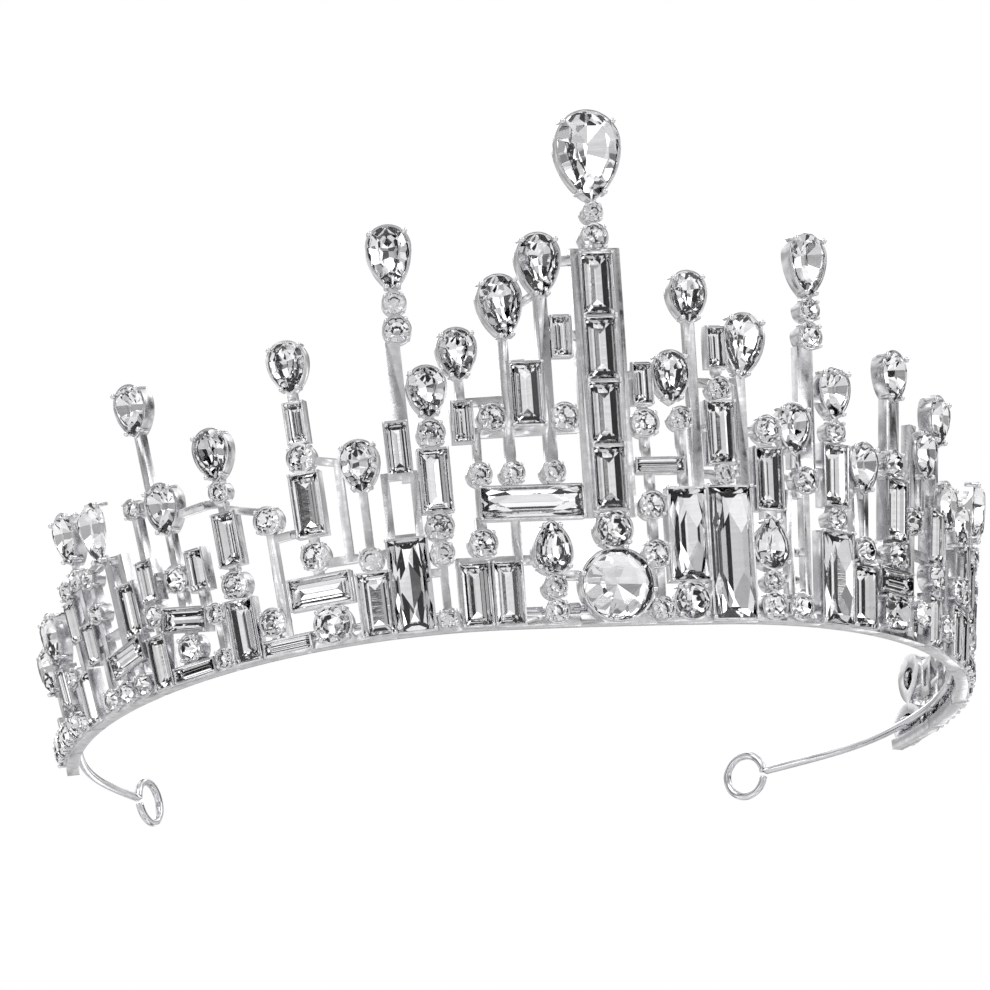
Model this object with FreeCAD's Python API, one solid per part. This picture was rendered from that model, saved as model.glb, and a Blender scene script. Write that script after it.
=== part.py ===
"""Bridal tiara: eighteen cast openwork panels set with glass stones, soldered to a steel hoop wire.

Millimetres.  X is to the wearer's left, the front of the tiara faces -Y and Z is up.  The tiara
stands on the flat underside of its rail at Z = 0, and the origin is the middle of its footprint.

A place on the tiara is given by s, the distance along the rail from the middle of the front
(negative on the left wing), h, the height up the leaning wall, and n, the distance out of its back.
"""
import FreeCAD, Part
import math
import os

V = FreeCAD.Vector

# ---- driving dimensions of the band -------------------------------------------------------------
FRONT_RADIUS = 375.0        # the front of the band is almost flat
FRONT_HALF = 18.0           # half the length of that flat front
SIDE_RADIUS = 57.0          # both wings turn on this radius, and so do the wire's tails
WALL_FLARE = math.radians(9.0)   # the wall leans outwards
PANEL_END = 122.0           # the casting runs this far each way

# ---- casting ------------------------------------------------------------------------------------
RAIL_DEPTH = 2.0
RAIL_HEIGHT = 1.6
BAR_BACK = 0.3              # bars start this far out of the back
BAR_FRONT = 2.0             # and end here
CUP_WALL = 0.35             # metal round a stone
NEST = 0.1                  # how far one cup of a column runs into the next
CUP_FRONT = 2.4             # the cup's rim, out of the back
SEAT = 0.8                  # depth of metal left behind a stone
CULET_HOLE = 0.5            # the hole behind a stone, as a share of the stone
BITE = 0.5                  # how far bars run into what they meet
BRIDGE_WIDTH = 1.6          # metal that joins one cup to the next
WINDOW_BAR = 1.2
FIRST_ROW = 0.45            # height at which the lowest cups start
SPIRE_FOOT = 18.2           # height at which the centre spire's frame starts
SPIRE_WIDTH = 8.0           # and its width

# ---- stones: outline, width, height, crown above the girdle --------------------------------------
STONES = {
    "crest_pear": ("pear", 10.2, 14.2, 1.9),
    "tall_pear": ("pear", 6.6, 10.0, 1.5),
    "pear": ("pear", 5.8, 8.0, 1.3),
    "drop": ("pear", 11.6, 11.0, 1.7),
    "large_round": ("round", 5.6, 5.6, 1.2),
    "round": ("round", 4.0, 4.0, 0.9),
    "small_round": ("round", 3.3, 3.3, 0.8),
    "tiny_round": ("round", 2.8, 2.8, 0.7),
    "spire_baguette": ("step", 5.0, 9.7, 0.9),
    "baguette": ("step", 4.4, 9.6, 0.8),
    "mid_baguette": ("step", 3.4, 8.0, 0.7),
    "slim_baguette": ("step", 2.8, 6.1, 0.6),
    "line_baguette": ("step", 1.9, 7.6, 0.5),
    "plate": ("step", 6.0, 14.4, 1.1),
    "long_plate": ("step", 7.0, 20.8, 1.1),
    "bar_stone": ("step", 4.8, 16.4, 1.1),
    "cushion": ("cushion", 6.0, 5.4, 1.1),
}
GIRDLE = 0.3                # height of a stone's rim
TABLE_SHARE = 0.6           # a stone's flat top, as a share of its outline
POINT_SHARE = 0.12          # and its blunt point at the back
CUSHION_CORNER = 0.3        # its corner radius, as a share of its width

# ---- hoop wire ----------------------------------------------------------------------------------
WIRE_RADIUS = 0.65
WIRE_HEIGHT = 3.1           # height of the hoop's middle line inside the band
WIRE_INSET = 0.3            # how far that line lies inside the back of the rail
LOOP_RADIUS = 3.5           # to the middle of the wire
LOOP_HEIGHT = 4.25          # middle of the loops, which clear the table
LOOP_HEADING = math.radians(133)    # the tails end this far round from the front
LEFT_LOOP = (-50.0, 106.6)  # where the middles of the two hand-bent loops are, from the front
RIGHT_LOOP = (53.0, 102.4)
LOOP_GAP = 14.0             # degrees left open where the wire's end comes round
SOLDER_WIDTH = 2.2
SOLDER_HEIGHT = 1.9
SOLDER_DEPTH = 1.3

# ---- the wall, column by column ------------------------------------------------------------------
# A column is (s, start height, items from the bottom up).  An item is the name of a stone,
# ("stem", length, width), ("window", length, width between its two bars), ("flat", stone) for a
# stone lying along the rail, ("point_up", stone) for a pear with its point upwards, and ("turn",
# stone, degrees) or ("turn_flat", stone, degrees) for one that leans over.
REAR_COLUMNS = [
    (78.4, 10.3, ["mid_baguette", ("stem", 4.3, 1.2)]),
    (79.2, FIRST_ROW, ["small_round", ("stem", 3.2, 1.2)]),
    (83.2, FIRST_ROW, ["small_round", ("stem", 2.0, 1.2)]),
    (81.4, 5.6, [("turn_flat", "mid_baguette", 8.0), ("stem", 13.6, 1.5)]),
    (82.4, 23.2, ["tall_pear"]),
    (86.2, 9.2, [("stem", 5.5, 1.1), "tiny_round", ("stem", 2.4, 1.1), "tiny_round"]),
    (87.4, FIRST_ROW, ["small_round", ("stem", 5.4, 1.1)]),
    (89.4, 9.2, ["slim_baguette", ("stem", 5.6, 1.1), "tiny_round", ("stem", 0.8, 1.2), "pear"]),
    (93.0, 14.0, ["slim_baguette", "tiny_round"]),
    (94.0, FIRST_ROW, ["mid_baguette", ("stem", 5.2, 1.2)]),
]
END_COLUMNS = [
    (97.7, FIRST_ROW, ["tiny_round", ("stem", 4.0, 1.2), "tiny_round"]),
    (101.7, FIRST_ROW, ["round", ("stem", 0.8, 1.4), "slim_baguette", ("stem", 0.6, 1.4), "pear"]),
    (107.2, FIRST_ROW, ["round", ("stem", 4.4, 1.4), "pear"]),
]
LEFT_TAIL_COLUMNS = [
    (-112.0, FIRST_ROW, ["round", ("stem", 1.6, 1.4)]),
    (-116.7, FIRST_ROW, ["round", ("stem", 1.0, 1.4)]),
]
RIGHT_TAIL_COLUMNS = [
    (111.4, FIRST_ROW, ["tiny_round", ("stem", 2.2, 1.2), "slim_baguette"]),
    (117.5, FIRST_ROW, [("flat", "pear"), "pear"]),
]
LEFT_MID_COLUMNS = [
    (-74.6, FIRST_ROW, ["mid_baguette"]),
    (-73.8, 9.05, [("stem", 1.1, 1.2), "small_round", ("stem", 0.4, 1.2), "slim_baguette",
                   ("stem", 6.7, 1.2), "tiny_round"]),
    (-68.3, FIRST_ROW, [("flat", "line_baguette"), "round", ("stem", 0.4, 1.4),
                        ("turn_flat", "mid_baguette", 12.0), ("stem", 2.3, 1.4), "round",
                        ("stem", 4.7, 1.3), "pear"]),
    (-70.2, 30.2, [("stem", 10.1, 1.3), "pear"]),
    (-64.5, 11.0, [("stem", 2.6, 1.2), "slim_baguette"]),
    (-62.6, FIRST_ROW, ["tiny_round", ("stem", 3.8, 1.2), "tiny_round"]),
]
LEFT_FRONT_COLUMNS = [
    (-58.6, FIRST_ROW, ["baguette", "round", ("stem", 0.8, 1.4), "mid_baguette",
                        ("stem", 1.6, 1.3), "tiny_round", "pear"]),
    (-53.6, 2.95, [("stem", 0.5, 1.4), "round"]),
    (-51.9, FIRST_ROW, [("flat", "line_baguette"), ("stem", 16.4, 1.3), "round"]),
]
LEFT_SHOULDER_COLUMNS = [
    (-44.4, FIRST_ROW, ["large_round"]),
    (-45.6, 6.65, [("flat", "baguette"), ("stem", 0.7, 1.4), "round", ("stem", 0.9, 1.4),
                   "baguette", "round", "slim_baguette", ("stem", 1.2, 1.4), "pear"]),
    (-37.5, FIRST_ROW, ["spire_baguette", "small_round", ("stem", 8.6, 1.2), "pear"]),
    (-40.6, 13.4, [("stem", 15.4, 1.2)]),
]
LEFT_TOWER_COLUMNS = [
    (-32.1, FIRST_ROW, ["plate", ("window", 9.9, 3.0)]),
    (-31.8, 25.4, ["mid_baguette"]),
    (-31.0, 34.0, [("stem", 12.0, 2.3)]),
    (-30.2, 46.0, ["round", "small_round", "tall_pear"]),
    (-27.0, FIRST_ROW, ["tiny_round", ("stem", 6.6, 1.2), "small_round", "round", "baguette",
                        "round", "pear"]),
]
LEFT_CENTRE_COLUMNS = [
    (-22.6, FIRST_ROW, ["baguette"]),
    (-17.6, FIRST_ROW, ["baguette"]),
    (-20.9, 10.65, [("stem", 0.6, 1.6), "round", ("stem", 1.3, 1.6)]),
    (-15.5, 10.2, [("stem", 7.0, 1.2)]),
    (-12.9, 17.1, [("flat", "bar_stone")]),
    (-10.1, FIRST_ROW, ["small_round", "small_round", ("point_up", "pear")]),
    (-20.6, 22.5, ["small_round", ("stem", 5.0, 1.2)]),
    (-15.6, 22.5, ["small_round", ("stem", 19.2, 1.5), ("turn", "tall_pear", -4.0)]),
    (-9.1, 22.5, ["small_round", ("stem", 25.7, 1.9), "tall_pear"]),
    (-22.4, 29.6, ["slim_baguette", ("stem", 3.1, 1.3), "pear"]),
    (-18.2, 31.2, ["round"]),
    (-12.4, 31.9, ["spire_baguette"]),
    (-6.7, 30.9, ["round"]),
    (-6.3, 42.7, ["slim_baguette"]),
]
SPIRE_COLUMNS = [
    (0.0, FIRST_ROW, [("point_up", "drop"), "large_round"]),
    (0.0, SPIRE_FOOT, ["spire_baguette", "spire_baguette", "spire_baguette", "spire_baguette",
                       "round", "tiny_round", "crest_pear"]),
]
RIGHT_CENTRE_COLUMNS = [
    (7.2, FIRST_ROW, ["small_round", ("stem", 4.4, 1.3)]),
    (6.6, 8.75, ["round", ("stem", 3.2, 1.3), "round", ("stem", 2.8, 1.3)]),
    (8.2, 23.95, [("flat", "line_baguette")]),
    (6.2, 26.45, [("stem", 3.15, 1.3), "round", ("stem", 0.7, 1.3), "slim_baguette"]),
    (12.1, FIRST_ROW, ["large_round", "plate", ("stem", 9.0, 1.3), "small_round"]),
    (10.9, 34.95, ["pear"]),
    (14.5, 22.0, [("stem", 25.7, 1.7), "pear"]),
]
RIGHT_TOWER_COLUMNS = [
    (19.1, FIRST_ROW, ["long_plate"]),
    (18.6, 21.85, ["tiny_round", "baguette", "small_round", ("stem", 1.3, 1.4), "slim_baguette"]),
    (21.9, 20.9, [("stem", 18.6, 1.7)]),
    (22.6, 39.0, [("turn", "tall_pear", 6.0)]),
]
RIGHT_SHOULDER_COLUMNS = [
    (25.7, FIRST_ROW, ["round", "tiny_round", ("point_up", "pear"), ("stem", 0.9, 2.4),
                       "baguette", ("stem", 0.5, 1.6), "round"]),
    (30.4, FIRST_ROW, ["round", ("window", 6.6, 1.8), ("window", 9.2, 1.8)]),
    (31.8, 20.85, ["round"]),
    (30.1, 25.45, [("stem", 1.5, 1.3), "pear"]),
    (32.4, 25.2, [("stem", 19.0, 3.0)]),
    (33.2, 44.2, ["round", "small_round", "tall_pear"]),
]
RIGHT_FRONT_COLUMNS = [
    (37.3, FIRST_ROW, ["plate", "small_round", "baguette", "small_round", "pear"]),
    (43.0, FIRST_ROW, ["baguette", "round"]),
    (41.4, 12.4, [("stem", 10.0, 1.0)]),
    (43.4, 15.0, [("stem", 7.4, 1.0)]),
    (42.7, 22.0, ["pear"]),
]
RIGHT_MID_COLUMNS = [
    (50.1, 1.0, ["cushion", ("flat", "mid_baguette"), "round", "baguette"]),
    (49.3, 25.8, ["round", ("stem", 7.6, 3.2), "pear"]),
    (54.3, 1.4, [("stem", 15.9, 1.6), "round", ("stem", 13.0, 1.8)]),
    (57.2, 2.3, [("stem", 0.6, 1.6), "round"]),
    (57.4, 21.8, [("stem", 5.0, 1.3), "pear"]),
]
RIGHT_BACK_COLUMNS = [
    (61.3, FIRST_ROW, ["mid_baguette", ("stem", 0.7, 1.6), "round", "mid_baguette",
                       ("stem", 10.4, 1.4), "pear"]),
    (66.2, 1.4, [("stem", 0.9, 1.4), "round", ("stem", 8.4, 1.3)]),
    (64.7, 15.0, [("stem", 5.0, 1.3), "pear"]),
    (70.6, FIRST_ROW, ["mid_baguette", ("stem", 0.7, 1.4), "round", ("stem", 4.0, 1.4), "pear"]),
    (74.8, FIRST_ROW, ["mid_baguette", ("stem", 1.0, 1.2), "small_round", ("stem", 0.5, 1.2),
                       "slim_baguette", ("stem", 1.6, 1.2), "tiny_round"]),
]

# A link is a bar from one place (s, h) to another, with its width.
REAR_LINKS = [((93.0, 14.6), (89.4, 16.6), 1.2), ((89.4, 12.0), (78.4, 12.4), 1.2),
              ((86.2, 23.0), (82.4, 24.4), 1.2), ((93.0, 22.6), (86.2, 22.2), 1.2),
              ((78.4, 23.0), (82.4, 23.6), 1.2)]
END_LINKS = [((107.2, 8.2), (97.7, 8.4), 1.2), ((107.2, 2.4), (103.0, 2.4), 1.4)]


def mirrored_item(item):
    """The same item, leaning the other way."""
    return (item[0], item[1], -item[2]) if item[0] in ("turn", "turn_flat") else item


def mirrored(columns):
    """The same columns on the other wing."""
    return [(-s, start, [mirrored_item(item) for item in items]) for s, start, items in columns]


def mirrored_links(links):
    """The same links on the other wing."""
    return [((-a[0], a[1]), (-b[0], b[1]), width) for a, b, width in links]


# Each panel is (name, s where it starts, s where it ends, columns, links).
PANELS = [
    ("panel_left_tail", -PANEL_END, -109.6, LEFT_TAIL_COLUMNS,
     [((-116.7, 5.2), (-107.2, 5.6), 1.2)]),
    ("panel_left_wing_end", -109.6, -96.0, mirrored(END_COLUMNS), mirrored_links(END_LINKS)),
    ("panel_left_wing_rear", -96.0, -76.7, mirrored(REAR_COLUMNS), mirrored_links(REAR_LINKS)),
    ("panel_left_wing_mid", -76.7, -61.3, LEFT_MID_COLUMNS,
     [((-73.8, 29.6), (-68.0, 29.4), 1.3), ((-73.8, 18.3), (-64.3, 17.0), 1.2),
      ((-68.0, 26.4), (-61.3, 26.6), 1.2), ((-76.7, 12.2), (-73.8, 12.4), 1.2)]),
    ("panel_left_wing_front", -61.3, -48.8, LEFT_FRONT_COLUMNS,
     [((-61.3, 26.6), (-58.6, 26.2), 1.2), ((-58.6, 25.2), (-51.9, 23.0), 1.2),
      ((-61.3, 9.4), (-58.6, 9.4), 1.2), ((-51.9, 18.6), (-48.8, 18.8), 1.2)]),
    ("panel_left_shoulder", -48.8, -35.2, LEFT_SHOULDER_COLUMNS,
     [((-45.4, 13.4), (-35.0, 13.4), 1.3), ((-45.6, 30.2), (-40.0, 28.6), 1.2),
      ((-48.8, 18.8), (-45.6, 18.8), 1.2)]),
    ("panel_left_tower", -35.2, -25.2, LEFT_TOWER_COLUMNS,
     [((-31.8, 24.8), (-27.0, 24.8), 1.2), ((-35.0, 13.4), (-32.0, 13.4), 1.2),
      ((-32.0, 9.6), (-27.0, 9.6), 1.2)]),
    ("panel_left_centre", -25.2, -6.2, LEFT_CENTRE_COLUMNS,
     [((-25.2, 10.8), (-10.1, 10.8), 1.4), ((-23.4, 31.0), (-4.4, 31.4), 1.4),
      ((-9.1, 58.0), (-3.6, 58.2), 1.4), ((-9.1, 46.2), (-4.0, 46.2), 1.4),
      ((-10.1, 8.2), (-4.6, 8.0), 1.4), ((-22.4, 36.0), (-15.6, 36.2), 1.3),
      ((-12.4, 41.9), (-15.6, 41.7), 1.3), ((-16.0, 49.4), (-9.4, 53.2), 1.3)]),
    ("panel_centre_spire", -6.2, 6.2, SPIRE_COLUMNS, []),
    ("panel_right_centre", 6.2, 15.4, RIGHT_CENTRE_COLUMNS,
     [((4.0, 39.6), (14.4, 39.6), 1.3), ((4.2, 25.2), (12.1, 25.2), 1.2)]),
    ("panel_right_tower", 15.4, 23.0, RIGHT_TOWER_COLUMNS,
     [((14.8, 38.4), (21.9, 38.4), 1.3), ((14.8, 23.8), (21.9, 23.8), 1.2),
      ((14.8, 31.0), (17.0, 31.0), 1.2)]),
    ("panel_right_shoulder", 23.0, 34.2, RIGHT_SHOULDER_COLUMNS,
     [((21.9, 30.6), (32.0, 30.8), 1.3), ((25.7, 23.6), (32.0, 23.8), 1.3),
      ((25.7, 7.2), (30.4, 7.2), 1.2)]),
    ("panel_right_wing_front", 34.2, 46.4, RIGHT_FRONT_COLUMNS,
     [((32.6, 36.6), (37.5, 36.6), 1.3), ((37.5, 21.9), (42.8, 21.9), 1.3),
      ((33.0, 26.0), (36.0, 26.0), 1.3), ((37.5, 12.8), (46.4, 12.8), 1.3)]),
    ("panel_right_wing_mid", 46.4, 59.0, RIGHT_MID_COLUMNS,
     [((42.8, 26.0), (49.4, 26.0), 1.3), ((49.9, 21.0), (57.6, 22.0), 1.3),
      ((46.4, 12.8), (54.3, 12.8), 1.3), ((54.3, 14.6), (59.0, 14.6), 1.3)]),
    ("panel_right_wing_back", 59.0, 76.7, RIGHT_BACK_COLUMNS,
     [((54.9, 33.6), (61.3, 33.6), 1.3), ((61.3, 26.4), (70.6, 26.0), 1.2),
      ((70.6, 20.8), (74.8, 20.8), 1.2), ((59.0, 14.6), (76.7, 12.6), 1.2)]),
    ("panel_right_wing_rear", 76.7, 96.0, REAR_COLUMNS, REAR_LINKS),
    ("panel_right_wing_end", 96.0, 109.6, END_COLUMNS, END_LINKS),
    ("panel_right_tail", 109.6, PANEL_END, RIGHT_TAIL_COLUMNS,
     [((111.4, 7.6), (107.2, 7.8), 1.2), ((117.5, 8.6), (111.4, 8.4), 1.2)]),
]
SOLDERED_AT = [-117, -107, -94, -83, -71, -58.6, -45, -32, -20, -6.6,
               6.6, 19, 28.2, 43.5, 55, 66, 83, 94, 107, 117]


# ---- places on the band --------------------------------------------------------------------------
FRONT_ANGLE = FRONT_HALF / FRONT_RADIUS


def heading(s):
    """Angle that the rail has turned through at s."""
    turned = min(abs(s), FRONT_HALF) / FRONT_RADIUS
    turned += max(abs(s) - FRONT_HALF, 0.0) / SIDE_RADIUS
    return math.copysign(turned, s)


def side_centre(side):
    """Centre of a wing's arc; side is 1 or -1."""
    reach = FRONT_RADIUS - SIDE_RADIUS
    return V(side * reach * math.sin(FRONT_ANGLE), FRONT_RADIUS - reach * math.cos(FRONT_ANGLE), 0)


def arc_at(s):
    """Centre and radius of the arc that holds s."""
    if abs(s) <= FRONT_HALF:
        return V(0, FRONT_RADIUS, 0), FRONT_RADIUS
    return side_centre(math.copysign(1, s)), SIDE_RADIUS


def outward(s):
    """Level direction out of the band at s."""
    return V(math.sin(heading(s)), -math.cos(heading(s)), 0)


def place(s, h, n=0.0):
    """The point at s along the rail, h up the wall and n out of its back."""
    centre, radius = arc_at(s)
    out = outward(s)
    up = V(0, 0, math.cos(WALL_FLARE)) + out * math.sin(WALL_FLARE)
    front = out * math.cos(WALL_FLARE) - V(0, 0, math.sin(WALL_FLARE))
    return centre + out * radius + up * h + front * n


def in_frame(shape, along, back, up, point):
    """The shape moved into a frame given by its three axes and its origin."""
    matrix = FreeCAD.Matrix(along.x, back.x, up.x, point.x, along.y, back.y, up.y, point.y,
                            along.z, back.z, up.z, point.z, 0, 0, 0, 1)
    copy = shape.copy()
    copy.Placement = FreeCAD.Placement(matrix).multiply(copy.Placement)
    return copy


def rail_direction(s):
    """Direction of the rail at s, towards the wearer's left."""
    return V(math.cos(heading(s)), math.sin(heading(s)), 0)


def seated(shape, s, h, turn=0.0):
    """A shape drawn about the origin, facing -Y with +Z up, moved to its place on the wall."""
    out = outward(s)
    up = V(0, 0, math.cos(WALL_FLARE)) + out * math.sin(WALL_FLARE)
    back = V(0, 0, math.sin(WALL_FLARE)) - out * math.cos(WALL_FLARE)
    turned = shape.copy()
    turned.rotate(V(0, 0, 0), V(0, 1, 0), turn)
    return in_frame(turned, rail_direction(s), back, up, place(s, h))


# ---- outlines and stones -------------------------------------------------------------------------
def flat_point(x, z, n):
    """A point of an outline that lies n in front of the back."""
    return V(x, -n, z)


def pear_outline(width, height, grow, n):
    """A pear with its point down, about the middle of its box, grown by an even margin."""
    radius = width / 2
    reach = height - radius
    flank = (radius ** 2 + reach ** 2) / (2 * radius)
    lift = height / 2 - radius
    wide = radius + grow
    tip = math.sqrt((flank + grow) ** 2 - (flank - radius) ** 2)
    bend = math.atan2(tip, flank - radius) / 2
    mid_x = radius - flank + (flank + grow) * math.cos(bend)
    mid_z = lift - (flank + grow) * math.sin(bend)
    left, right = flat_point(-wide, lift, n), flat_point(wide, lift, n)
    point = flat_point(0, lift - tip, n)
    return Part.Wire([
        Part.Arc(left, flat_point(0, lift + wide, n), right).toShape(),
        Part.Arc(right, flat_point(mid_x, mid_z, n), point).toShape(),
        Part.Arc(point, flat_point(-mid_x, mid_z, n), left).toShape()])


def step_outline(width, height, grow, n):
    """A rectangle."""
    x, z = width / 2 + grow, height / 2 + grow
    corners = [flat_point(*c, n) for c in ((-x, -z), (x, -z), (x, z), (-x, z), (-x, -z))]
    return Part.makePolygon(corners)


def cushion_outline(width, height, grow, n):
    """A rectangle with well rounded corners."""
    x, z, r = width / 2 + grow, height / 2 + grow, CUSHION_CORNER * width + grow
    edges = []
    last = None
    for sx, sz, quarter in ((1, 1, 0), (-1, 1, 1), (-1, -1, 2), (1, -1, 3)):
        centre = (sx * (x - r), sz * (z - r))
        turn = [math.pi / 2 * quarter + math.pi / 4 * k for k in range(3)]
        ends = [flat_point(centre[0] + r * math.cos(a), centre[1] + r * math.sin(a), n) for a in turn]
        if last is not None:
            edges.append(Part.makeLine(last, ends[0]))
        edges.append(Part.Arc(*ends).toShape())
        last = ends[2]
    edges.append(Part.makeLine(last, edges[0].Vertexes[0].Point))
    return Part.Wire(edges)


def round_outline(width, height, grow, n):
    """A circle."""
    return Part.Wire([Part.makeCircle(width / 2 + grow, V(0, -n, 0), V(0, -1, 0))])


OUTLINES = {"pear": pear_outline, "step": step_outline, "cushion": cushion_outline,
            "round": round_outline}


def prism(kind, width, height, grow, n_from, n_to):
    """The outline as a solid between two depths."""
    face = Part.Face(OUTLINES[kind](width, height, grow, n_from))
    return face.extrude(V(0, n_from - n_to, 0))


def stone(name):
    """A cut stone: blunt point, girdle and table, lying in its cup."""
    kind, width, height, crown = STONES[name]
    girdle = CUP_FRONT - GIRDLE
    rings = [(POINT_SHARE, SEAT), (1.0, girdle), (1.0, CUP_FRONT), (TABLE_SHARE, CUP_FRONT + crown)]
    if kind == "round":
        radius = width / 2
        profile = [V(0, -SEAT, 0)] + [V(radius * k, -n, 0) for k, n in rings]
        profile += [V(0, -CUP_FRONT - crown, 0), V(0, -SEAT, 0)]
        return Part.Face(Part.makePolygon(profile)).revolve(V(0, 0, 0), V(0, 1, 0), 360)
    wires = [OUTLINES[kind](width * k, height * k, 0.0, n) for k, n in rings]
    solids = [Part.makeLoft([a, b], True, True) for a, b in zip(wires, wires[1:])]
    return solids[0].multiFuse(solids[1:]).removeSplitter()


def cup(name):
    """The metal cup of a stone, still solid."""
    kind, width, height, _ = STONES[name]
    return prism(kind, width, height, CUP_WALL, 0.0, CUP_FRONT)


def pocket(name):
    """What is cut out of a cup: the stone's seat, and a smaller hole through the back."""
    kind, width, height, _ = STONES[name]
    seat = prism(kind, width, height, 0.0, SEAT, CUP_FRONT + 1.0)
    hole = prism(kind, width * CULET_HOLE, height * CULET_HOLE, 0.0, -1.0, SEAT + 0.1)
    return seat.fuse(hole)


# ---- the casting ---------------------------------------------------------------------------------
def bar(start, end, width):
    """A straight bar of the openwork between two places (s, h) on the wall."""
    a, b = place(*start), place(*end)
    middle = (start[0] + end[0]) / 2
    front = outward(middle) * math.cos(WALL_FLARE) - V(0, 0, math.sin(WALL_FLARE))
    length = a.distanceToPoint(b)
    along = (b - a) * (1 / length)
    across = along.cross(front).normalize()
    back = along.cross(across)
    box = Part.makeBox(width, BAR_FRONT - BAR_BACK, length, V(-width / 2, -BAR_FRONT, 0))
    return in_frame(box, across, back, along, a)


def rail(s_from, s_to):
    """The rail under a panel, cut where the band's arcs meet."""
    stops = [s_from] + [k for k in (-FRONT_HALF, FRONT_HALF) if s_from < k < s_to] + [s_to]
    pieces = []
    for a, b in zip(stops, stops[1:]):
        middle = (a + b) / 2
        centre, radius = arc_at(middle)
        rings = []
        for reach in (radius, radius + RAIL_DEPTH):
            ends = [centre + outward(k) * reach for k in (a, middle, b)]
            rings.append(ends)
        inner, outer = rings
        wire = Part.Wire([Part.Arc(*inner).toShape(), Part.makeLine(inner[2], outer[2]),
                          Part.Arc(*reversed(outer)).toShape(), Part.makeLine(outer[0], inner[0])])
        pieces.append(Part.Face(wire).extrude(V(0, 0, RAIL_HEIGHT)))
    return pieces


def stacked(column):
    """Walks up a column: yields (kind, s, h of the middle, item, length)."""
    s, height, items = column
    for item in items:
        word = item if isinstance(item, str) else item[0]
        if word in ("stem", "window"):
            length = item[1]
        else:
            name = item if isinstance(item, str) else item[1]
            _, width, tall, _ = STONES[name]
            size = width if word in ("flat", "turn_flat") else tall
            length = size + 2 * CUP_WALL - NEST
        yield word, s, height + length / 2, item, length
        height += length


def turned_by(word, item):
    """How far a stone in a column is turned from upright, point down."""
    return {"flat": 90.0, "point_up": 180.0}.get(word, item[2] if word == "turn" else
                                                 90.0 + item[2] if word == "turn_flat" else 0.0)


def stones_in(columns):
    """Every stone of some columns, as (name, s, h, turn)."""
    found = []
    for column in columns:
        for word, s, h, item, _ in stacked(column):
            if word not in ("stem", "window"):
                name = item if isinstance(item, str) else item[1]
                found.append((name, s, h, turned_by(word, item)))
    return found


def spire_frame():
    """The centre spire's two side rails and the bridges between its stones."""
    column = next(c for c in panel("panel_centre_spire")[3] if c[1] > FIRST_ROW)
    low = column[1]
    top = low + 4 * (STONES["spire_baguette"][2] + 2 * CUP_WALL)
    side = SPIRE_WIDTH / 2 - 0.6
    bars = [bar((x, low - 1.0), (x, top), 1.2) for x in (-side, side)]
    bars.append(bar((-side - 0.6, low - 0.4), (side + 0.6, low - 0.4), 1.2))
    bars.append(bar((-side - 0.6, top - 0.4), (side + 0.6, top - 0.4), 1.2))
    return bars


def panel(name):
    """The named panel's entry."""
    return next(p for p in PANELS if p[0] == name)


def column_bars(column):
    """Stems, window bars and the bridges between cups of a column, each biting into its neighbours."""
    bars = []
    below = "stem"
    for word, s, h, item, length in stacked(column):
        low, high = h - length / 2, h + length / 2
        if word == "stem":
            bars.append(bar((s, max(low - BITE, RAIL_HEIGHT / 2)), (s, high + BITE), item[2]))
        elif word == "window":
            reach = (item[2] + WINDOW_BAR) / 2
            bars += [bar((s + k * reach, low - BITE), (s + k * reach, high + BITE), WINDOW_BAR)
                     for k in (-1, 1)]
            wide = reach + WINDOW_BAR / 2
            bars += [bar((s - wide, k), (s + wide, k), WINDOW_BAR) for k in (low, high)]
        elif below != "stem":
            bars.append(bar((s, low - BITE), (s, low + BITE), BRIDGE_WIDTH))
        below = word
    return bars


def cast_panel(entry, cutters):
    """One cast panel, with the seats of all the stones that reach it cut out."""
    name, s_from, s_to, columns, links = entry
    solids = rail(s_from, s_to)
    for column in columns:
        solids += column_bars(column)
    solids += [bar(*link) for link in links]
    if name == "panel_centre_spire":
        solids += spire_frame()
    solids += [seated(cup(kind), s, h, turn) for kind, s, h, turn in stones_in(columns)]
    body = solids[0]
    for solid in solids[1:]:
        body = body.fuse(solid)
    near = [c for c in cutters if c.BoundBox.intersect(body.BoundBox)]
    return max(body.cut(near).Solids, key=lambda solid: solid.Volume)


# ---- the hoop wire -------------------------------------------------------------------------------
def wire_point(s):
    """Middle line of the hoop at s, behind the band."""
    centre, radius = arc_at(s)
    return centre + outward(s) * (radius - WIRE_INSET) + V(0, 0, WIRE_HEIGHT)


def wire_arc(s_from, s_to):
    """The middle line of a stretch of hoop inside one arc of the band."""
    return Part.Arc(wire_point(s_from), wire_point((s_from + s_to) / 2), wire_point(s_to))


def tail_direction(side):
    """Direction in which a tail runs into its loop."""
    return V(side * math.cos(LOOP_HEADING), math.sin(LOOP_HEADING), 0)


def loop_axis(side):
    """Level direction across a loop."""
    return V(0, 0, 1).cross(tail_direction(side))


def loop_middle(side):
    """Middle of a loop."""
    return V(*(LEFT_LOOP if side < 0 else RIGHT_LOOP), LOOP_HEIGHT)


def tail(side):
    """The middle line of a tail, from the end of the casting to its loop."""
    start = wire_point(side * PANEL_END)
    end = loop_middle(side) - tail_direction(side) * LOOP_RADIUS
    curve = Part.BSplineCurve()
    curve.interpolate([start, end], InitialTangent=rail_direction(side * PANEL_END) * side,
                      FinalTangent=tail_direction(side))
    return curve


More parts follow.
